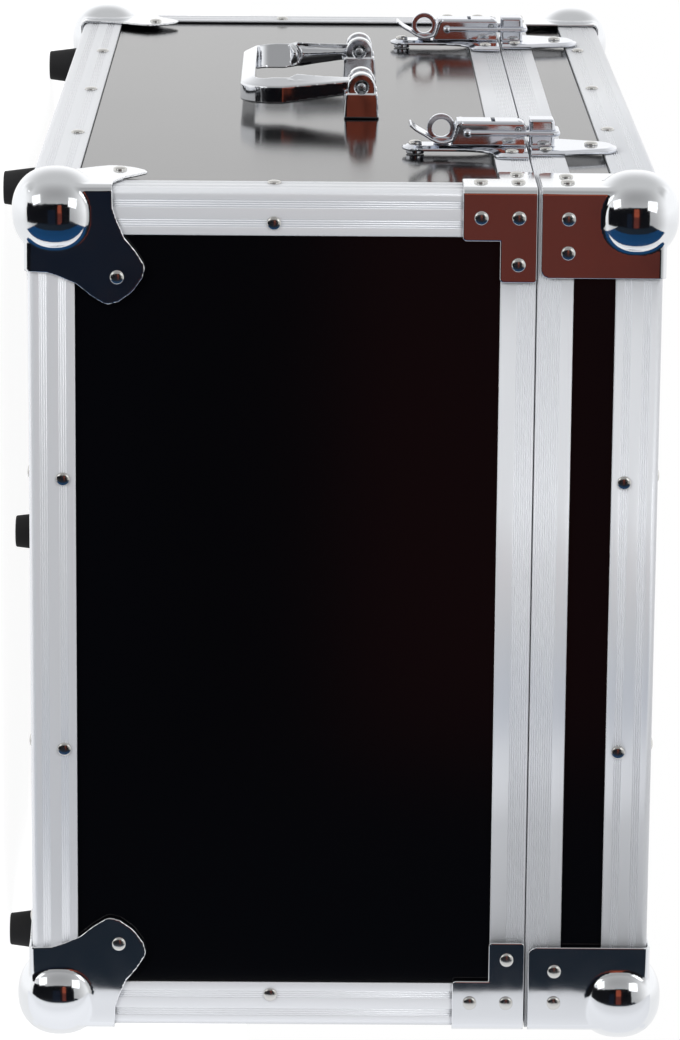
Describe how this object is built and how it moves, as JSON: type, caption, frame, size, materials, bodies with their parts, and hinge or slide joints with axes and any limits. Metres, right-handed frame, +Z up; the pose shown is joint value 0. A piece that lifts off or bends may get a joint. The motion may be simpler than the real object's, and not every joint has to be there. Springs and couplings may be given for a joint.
{
  "type": "flight case",
  "caption": "Flight case of black laminated panels in riveted aluminium edges, with ball corners, a hinged lid, toggle latches, a drop handle and rubber feet.",
  "frame": {"origin": "on the floor under the middle of the whole case with its hardware", "axes": "+X along the width, +Z up, -Y towards the front with the handle and latches, +Y towards the hinges"},
  "size_m": [0.6154, 0.438, 0.3198],
  "materials": {
    "laminate": "near-black satin laminate on plywood",
    "aluminium": "bright extruded, fine rolled grooves",
    "chrome": "mirror-plated pressed steel and die casting",
    "steel": "nickel-plated, smooth",
    "rubber": "matte black"
  },
  "bodies": {
    "base": {"base_floor_panel": "laminate", "base_front_panel": "laminate", "base_back_panel": "laminate", "base_left_panel": "laminate", "base_right_panel": "laminate", "bottom_edge_front": "aluminium", "bottom_edge_back": "aluminium", "bottom_edge_left": "aluminium", "bottom_edge_right": "aluminium", "corner_edge_front_left": "aluminium", "corner_edge_front_right": "aluminium", "corner_edge_back_left": "aluminium", "corner_edge_back_right": "aluminium", "base_rim_frame": "aluminium", "ball_corner_front_left": "chrome", "ball_corner_front_right": "chrome", "ball_corner_back_left": "chrome", "ball_corner_back_right": "chrome", "rim_brace_front_left": "chrome", "rim_brace_front_right": "chrome", "rim_brace_back_left": "chrome", "rim_brace_back_right": "chrome", "foot_front_left": "rubber", "foot_front_right": "rubber", "foot_middle_left": "rubber", "foot_middle_right": "rubber", "foot_back_left": "rubber", "foot_back_right": "rubber", "handle_bracket_left": "chrome", "handle_bracket_right": "chrome", "handle_pin_left": "steel", "handle_pin_right": "steel", "latch_plate_left": "chrome", "latch_plate_right": "chrome", "latch_pin_left": "steel", "latch_pin_right": "steel", "hinge_base_leaf_left": "steel", "hinge_base_leaf_right": "steel", "hinge_pin_left": "steel", "hinge_pin_right": "steel"},
    "lid": {"lid_top_panel": "laminate", "lid_front_panel": "laminate", "lid_back_panel": "laminate", "lid_left_panel": "laminate", "lid_right_panel": "laminate", "lid_rim_frame": "aluminium", "lid_top_frame": "aluminium", "lid_ball_corner_front_left": "chrome", "lid_ball_corner_front_right": "chrome", "lid_ball_corner_back_left": "chrome", "lid_ball_corner_back_right": "chrome", "latch_catch_left": "chrome", "latch_catch_right": "chrome", "hinge_lid_leaf_left": "steel", "hinge_lid_leaf_right": "steel"},
    "handle": {"carry_handle": "chrome"},
    "lever_left": {"latch_lever_left": "chrome"},
    "lever_right": {"latch_lever_right": "chrome"},
    "bail_left": {"latch_bail_left": "steel"},
    "bail_right": {"latch_bail_right": "steel"}
  },
  "joints": [
    {"name": "lid_hinge", "type": "hinge", "parent": "base", "child": "lid", "pos_m": [0, 0.2151, 0.25335], "axis": [-1, 0, 0], "range_deg": [0, 105]},
    {"name": "handle_swing", "type": "hinge", "parent": "base", "child": "handle", "pos_m": [0, -0.212, 0.1735], "axis": [-1, 0, 0], "range_deg": [0, 180]},
    {"name": "lever_hinge_left", "type": "hinge", "parent": "base", "child": "lever_left", "pos_m": [-0.184, -0.2089, 0.2483], "axis": [-1, 0, 0], "range_deg": [0, 100]},
    {"name": "lever_hinge_right", "type": "hinge", "parent": "base", "child": "lever_right", "pos_m": [0.184, -0.2089, 0.2483], "axis": [-1, 0, 0], "range_deg": [0, 100]},
    {"name": "bail_hinge_left", "type": "hinge", "parent": "lever_left", "child": "bail_left", "pos_m": [-0.184, -0.2073, 0.2237], "axis": [1, 0, 0], "range_deg": [0, 100]},
    {"name": "bail_hinge_right", "type": "hinge", "parent": "lever_right", "child": "bail_right", "pos_m": [0.184, -0.2073, 0.2237], "axis": [1, 0, 0], "range_deg": [0, 100]}
  ],
  "couplings": [
    {"joint": "bail_hinge_left", "follows": "lever_hinge_left", "ratio": 1},
    {"joint": "bail_hinge_right", "follows": "lever_hinge_right", "ratio": 1}
  ]
}
